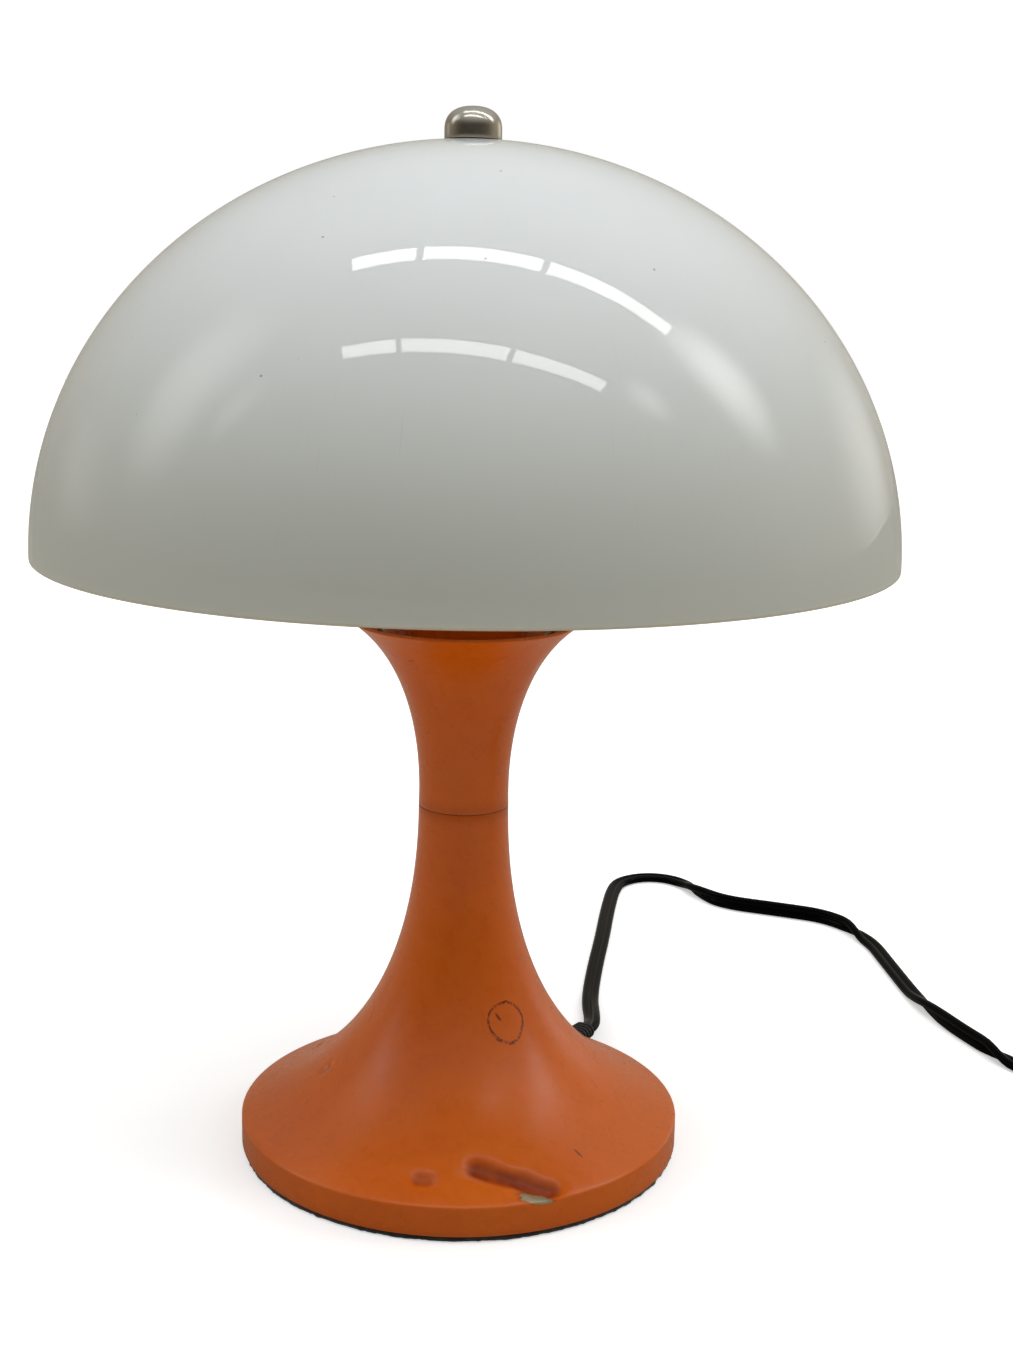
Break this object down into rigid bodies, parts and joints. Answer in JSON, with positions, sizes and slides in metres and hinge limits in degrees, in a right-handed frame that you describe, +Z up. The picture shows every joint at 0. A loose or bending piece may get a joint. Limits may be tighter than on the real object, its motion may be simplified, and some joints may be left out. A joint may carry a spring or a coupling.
{
  "type": "table lamp",
  "caption": "Mushroom table lamp: domed opal shade on a harp over a flared trumpet stem and base, with twin lead, in-line switch and plug.",
  "frame": {"origin": "centre of the base's underside, on the table", "axes": "+Z up along the stem, -Y towards the viewer; the free lead lies towards +X"},
  "size_m": [0.4915, 0.4589, 0.348],
  "materials": {
    "black_felt": "pressed wool felt",
    "cast_iron": "as cast, oiled",
    "orange_paint": "satin enamel over spun metal",
    "zinc_steel": "zinc plated",
    "turned_aluminium": "turned",
    "brass": "bare",
    "black_phenolic": "moulded phenolic",
    "white_ceramic": "unglazed porcelain",
    "solder_tin": "tinned",
    "black_glass": "vitrite",
    "bulb_cap_metal": "rolled thread",
    "frosted_glass": "inside frosted",
    "clear_glass": "clear",
    "tungsten": "drawn wire",
    "opal_acrylic": "polished opal acrylic",
    "clear_washer": "clear",
    "nickel": "nickel plated",
    "black_rubber": "moulded",
    "core_insulation": "extruded",
    "black_pvc": "extruded PVC",
    "black_abs": "moulded"
  },
  "bodies": {
    "root": {"felt_pad": "black_felt", "base_weight": "cast_iron", "base_shell": "orange_paint", "stem_tube": "zinc_steel", "bottom_washer": "zinc_steel", "bottom_nut": "zinc_steel", "neck_collar": "turned_aluminium", "upper_trumpet": "orange_paint", "support_disc": "zinc_steel", "saddle_nut": "zinc_steel", "harp_saddle": "zinc_steel", "harp": "brass", "harp_sleeves": "brass", "harp_stud": "brass", "holder_cap": "orange_paint", "holder_insert": "white_ceramic", "holder_sleeve": "black_phenolic", "screw_shell": "brass", "centre_contact": "brass", "side_contact": "brass", "terminal_screws": "brass", "seat_washer": "brass", "cord_relief": "black_rubber", "inner_lead": "core_insulation", "lead_first": "black_pvc", "lead_second": "black_pvc", "lead_coil": "black_pvc", "lead_last": "black_pvc", "switch_tray": "black_abs", "switch_cover": "black_abs", "switch_pivot": "zinc_steel", "switch_contacts": "brass", "switch_screws": "zinc_steel", "plug_guard": "black_rubber", "plug_body": "black_abs", "plug_pins": "nickel", "plug_sleeves": "black_abs"},
    "shade": {"shade": "opal_acrylic", "top_washer": "clear_washer"},
    "finial_thread": {"finial_insert": "brass"},
    "finial": {"finial_cap": "nickel"},
    "bulb_tip": {"bulb_contact": "solder_tin", "bulb_insulator": "black_glass"},
    "bulb": {"bulb_cap": "bulb_cap_metal", "bulb_glass": "frosted_glass", "bulb_stem": "clear_glass", "bulb_filament": "tungsten"},
    "switch_rocker": {"switch_rocker": "black_abs"}
  },
  "joints": [
    {"name": "shade_lift", "type": "slide", "parent": "root", "child": "shade", "axis": [0, 0, 1], "range_m": [0, 0.15]},
    {"name": "finial_rise", "type": "slide", "parent": "shade", "child": "finial_thread", "axis": [0, 0, 1], "range_m": [0, 0.007]},
    {"name": "finial_turn", "type": "hinge", "parent": "finial_thread", "child": "finial", "pos_m": [0, 0, 0.3386], "axis": [0, 0, 1], "range_deg": [0, 2520]},
    {"name": "bulb_rise", "type": "slide", "parent": "root", "child": "bulb_tip", "axis": [0, 0, 1], "range_m": [0, 0.01814]},
    {"name": "bulb_turn", "type": "hinge", "parent": "bulb_tip", "child": "bulb", "pos_m": [0, 0, 0.19], "axis": [0, 0, 1], "range_deg": [0, 1800]},
    {"name": "rocker_tip", "type": "hinge", "parent": "root", "child": "switch_rocker", "pos_m": [0.246, -0.039, 0.0162], "axis": [-1, 0, 0], "range_deg": [0, 18]}
  ],
  "couplings": [
    {"joint": "finial_rise", "follows": "finial_turn", "m_per_rad": 0.00015915},
    {"joint": "bulb_rise", "follows": "bulb_turn", "m_per_rad": 0.00057751}
  ]
}
